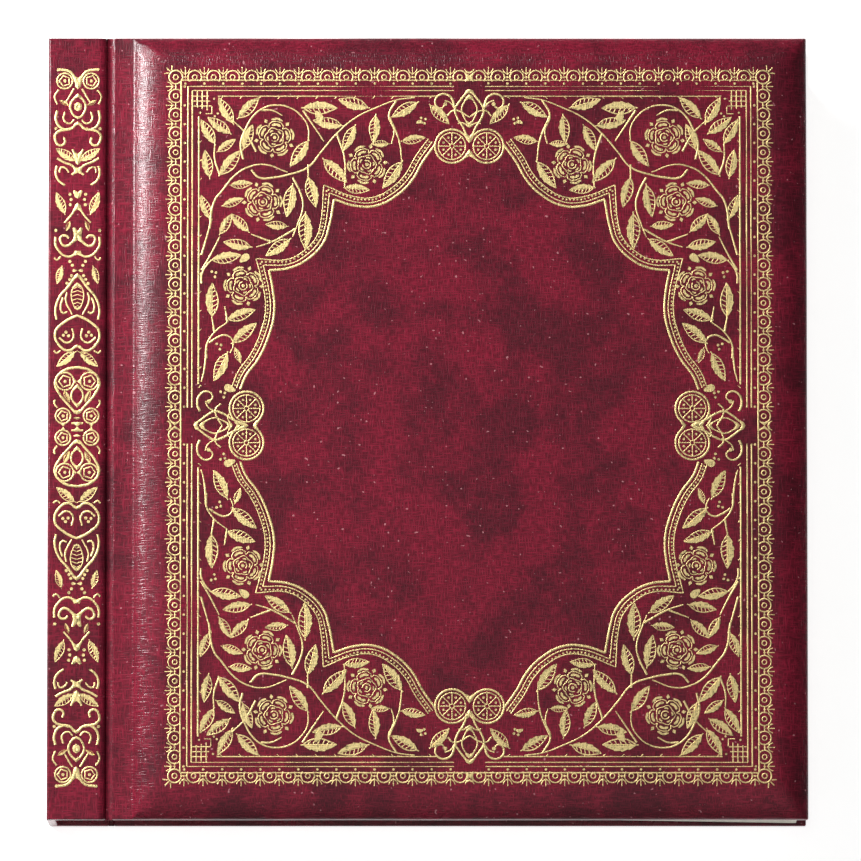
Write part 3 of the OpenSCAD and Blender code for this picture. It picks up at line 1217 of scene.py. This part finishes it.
# Scrolls of one quarter of the strip's ornament, from its middle: points and widths
STRIP_SCROLLS = (
    (((7.5, 138.5), (3, 137.5), (1, 134), (0.5, 131)), 0.7),
    (((1.5, 131), (4.5, 126)), 0.5),
    (((7.5, 130.5), (9, 128), (8, 125)), 0.5),
    (((0, 129), (3, 124.5), (2.2, 121.5), (0, 119)), 0.6),
    (((0, 126.5), (1.2, 124), (0, 121.5)), 0.45),
    (((8, 122.5), (8.5, 119), (6, 115.5), (2.5, 115.5), (0.5, 118)), 0.7),
    (((5, 122), (5.5, 119), (3, 117.5), (1.5, 119)), 0.5),
    (((3, 115.5), (8.5, 113.5), (8.5, 110.5), (7, 109), (5, 110), (5.3, 112)), 0.7),
    (((2, 107.5), (1, 104.5), (0.5, 101.5)), 0.6),
    (((8, 104), (5.5, 102.5), (1.5, 100.5), (1.2, 98.5), (2.3, 97.6)), 0.65),
    (((8, 101), (8.5, 98.5), (7.5, 95.5), (5, 93.5)), 0.65),
    (((7, 98.5), (6.5, 100.5), (4.5, 100), (3.5, 98.5)), 0.5),
    (((1.5, 91.5), (0.5, 87.5), (1.5, 83.5), (5, 79)), 0.6),
    (((1.5, 77), (1, 73.5), (2.5, 71), (5, 70), (6.5, 71.5), (6.5, 73.5), (4.5, 74), (3.4, 73)), 0.7),
    (((8.5, 73.5), (8.5, 70.5), (7.5, 68.5), (4.5, 66), (1.5, 66.5), (0.8, 68)), 0.65),
    (((9, 65.5), (8, 64.5), (6.5, 66)), 0.5),
    (((0, 65), (0, 60.5), (3, 55), (7, 50), (8.5, 45), (8, 41.5)), 0.7),
    (((4, 52), (4.5, 49), (2, 43.5)), 0.5),
    (((5.5, 50), (6.5, 46.5), (5.5, 44), (4, 44.5)), 0.55),
    (((0.5, 43), (5, 40.5), (8.5, 36.5), (6.5, 31), (3, 29.5), (0.5, 31.5)), 0.7),
    (((7, 34.5), (4, 32.5), (1.5, 34.5), (2, 38)), 0.55),
    (((0, 37.5), (0, 31.5)), 0.5),
    (((9, 29.5), (8, 28.5), (6.5, 29.5)), 0.5),
    (((0.5, 23), (5, 21.8), (8.5, 17.5), (7, 13), (2.5, 7.5), (0, 4.5)), 0.7),
    (((0, 16.5), (2.3, 12), (0, 7.5)), 0.55),
    (((0, 2.5), (1.2, 3.6)), 0.5),
    (((0, 1.4), (2.2, 1.4)), 0.6),
    (((8.5, 10.5), (8.8, 9), (7.6, 7.4)), 0.5),
)
# Leaves of the strip: base, direction in degrees and length
STRIP_LEAVES = (
    (1, 103, 32, 9), (5, 82.5, 68, 9), (3, 79.5, -70, 4), (6, 62, -75, 7), (1, 29, -40, 9),
    (7, 126.5, 210, 4), (0.2, 56, -88, 11), (5, 14, -115, 5), (0.3, 95.5, 92, 3.5),
)
STRIP_DOTS = (
    (8.5, 115.5), (7.6, 138.4), (0, 109.5), (0, 96.2), (3, 90), (2.6, 88), (2.9, 86), (3, 64),
    (2, 62.5), (1.5, 60.5), (2.3, 58.5), (3, 57), (4, 55.5), (4.4, 36.6), (5.4, 35.4), (3.4, 35.2),
    (0, 83), (0, 26), (8.4, 76),
)


class ALBUM_OT_foil_strip(bpy.types.Operator):
    """Blocks the scrolls, leaves and rosettes on the hinge strip"""

    bl_idname = "album.foil_strip"
    bl_label = "Gilt strip"

    def execute(self, context):
        weight = context.scene.album_foil.strip_weight
        shape = Sketch("strip scrolls")
        for points, width in STRIP_SCROLLS:
            shape.line(points, weight * width, 0.85 * weight * width)
        for x, y in STRIP_DOTS:
            shape.dot(x, y, 0.65)
        for x, y, radius in ((5.1, 134, 3), (4.7, 17.6, 3.4), (5.4, 4.2, 2.9)):
            shape.ring(x, y, radius, 0.6)
            shape.ring(x, y, radius * 0.62, 0.5, lobes=5, depth=0.3, points=15)
            shape.dot(x, y, 0.65)
        places = [(x, y, turn, size / LEAF_LENGTH) for x, y, turn, size in STRIP_LEAVES]
        leaves = set_out(leaf_motif(), places, "strip leaves")
        strip = joined([shape.piece(), leaves], "foil_strip")
        gild(strip, "front_strip", (strip_low.x + strip_high.x) / 2)
        return {"FINISHED"}


# ---------------------------------------------------------------- stage


class ALBUM_OT_stage(bpy.types.Operator):
    """Makes the pale floor, the soft lights and the camera"""

    bl_idname = "album.stage"
    bl_label = "Stage"

    def execute(self, context):
        scene = context.scene
        settings = scene.album_stage
        deselect()
        bpy.ops.mesh.primitive_plane_add(size=6, location=(0, 0, 0))
        floor = context.object
        floor.name = "floor"
        # Matt paper roll that glows with painted light, so that it goes nearly white round the album and the
        # album's shadow on it washes out
        values = {"Roughness": 0.9, "Specular IOR Level": 0.1}
        painted_glow = {"Emission Color": grey(1.0), "Emission Strength": 0.84}
        material, tree, spot = new_material("floor white paper roll", values | painted_glow)
        mottle = add(tree, "TexNoise", {"Vector": spot, "Scale": 1 / (25 * MM), "Detail": 3.0})
        tint = add(tree, "ValToRGB", {"Fac": mottle}, [(0.3, linear("#d6d6d6")), (0.7, linear("#dadada"))])
        floor.data.materials.append(finished(material, tint))

        scene.view_settings.view_transform = "Standard"
        world = bpy.data.worlds.new("studio")
        world.use_nodes = True
        give(world.node_tree.nodes["Background"], {"Color": grey(1.0), "Strength": 0.08})
        scene.world = world

        target = Vector((1.2 * MM, -1.6 * MM, cover_high.z))
        self.add_light("key_softbox", target, (-1.0, 1.15, 1.5), 0.5, settings.key)
        self.add_light("accent_softbox", target, (-0.62, 0.26, 0.42), 0.16, settings.accent)
        self.add_light("fill_softbox", target, (-0.5, -1.0, 2.2), 3.0, settings.fill)

        camera = bpy.data.objects.new("camera", bpy.data.cameras.new("camera"))
        scene.collection.objects.link(camera)
        camera.data.sensor_width = 36
        camera.data.lens = settings.lens
        camera.data.clip_end = 50
        back = Vector((0, -math.sin(settings.tilt), math.cos(settings.tilt)))
        camera.location = target + back * settings.distance
        camera.rotation_euler = (settings.tilt, 0, 0)
        scene.camera = camera
        return {"FINISHED"}

    def add_light(self, name, target, place, size, power):
        """An area light that faces the target."""
        light = bpy.data.objects.new(name, bpy.data.lights.new(name, "AREA"))
        light.data.size = size
        light.data.energy = power
        light.location = Vector(place)
        light.rotation_euler = (target - light.location).to_track_quat("-Z", "Y").to_euler()
        bpy.context.scene.collection.objects.link(light)


class ALBUM_PT_panel(bpy.types.Panel):
    """Lists the album's pieces"""

    bl_idname = "ALBUM_PT_panel"
    bl_label = "Stamp album"
    bl_space_type = "VIEW_3D"
    bl_region_type = "UI"
    bl_category = "Album"

    def draw(self, context):
        for operator in STEPS:
            self.layout.operator(operator.bl_idname)


STEPS = (
    ALBUM_OT_stage,
    ALBUM_OT_front_cover,
    ALBUM_OT_front_strip,
    ALBUM_OT_grooves,
    ALBUM_OT_case,
    ALBUM_OT_endpapers,
    ALBUM_OT_guards,
    ALBUM_OT_frame_finishes,
    ALBUM_OT_foil_border,
    ALBUM_OT_foil_roses,
    ALBUM_OT_foil_leaves,
    ALBUM_OT_foil_vines,
    ALBUM_OT_foil_cartouche,
    ALBUM_OT_foil_strip,
)
SETTINGS = {
    "album_cover": AlbumCoverSettings,
    "album_foil": AlbumFoilSettings,
    "album_finish": AlbumFinishSettings,
    "album_stage": AlbumStageSettings,
}


def register():
    """Registers the settings, the operators and the panel."""
    for kind in (*SETTINGS.values(), *STEPS, ALBUM_PT_panel):
        bpy.utils.register_class(kind)
    for name, kind in SETTINGS.items():
        setattr(bpy.types.Scene, name, bpy.props.PointerProperty(type=kind))


def unregister():
    """Takes back what register did."""
    for name in SETTINGS:
        delattr(bpy.types.Scene, name)
    for kind in reversed((*SETTINGS.values(), *STEPS, ALBUM_PT_panel)):
        bpy.utils.unregister_class(kind)


def main():
    """Builds the album."""
    register()
    make_materials(bpy.context.scene)
    for step in STEPS:
        group, name = step.bl_idname.split(".")
        getattr(getattr(bpy.ops, group), name)()


if __name__ == "__main__":
    main()
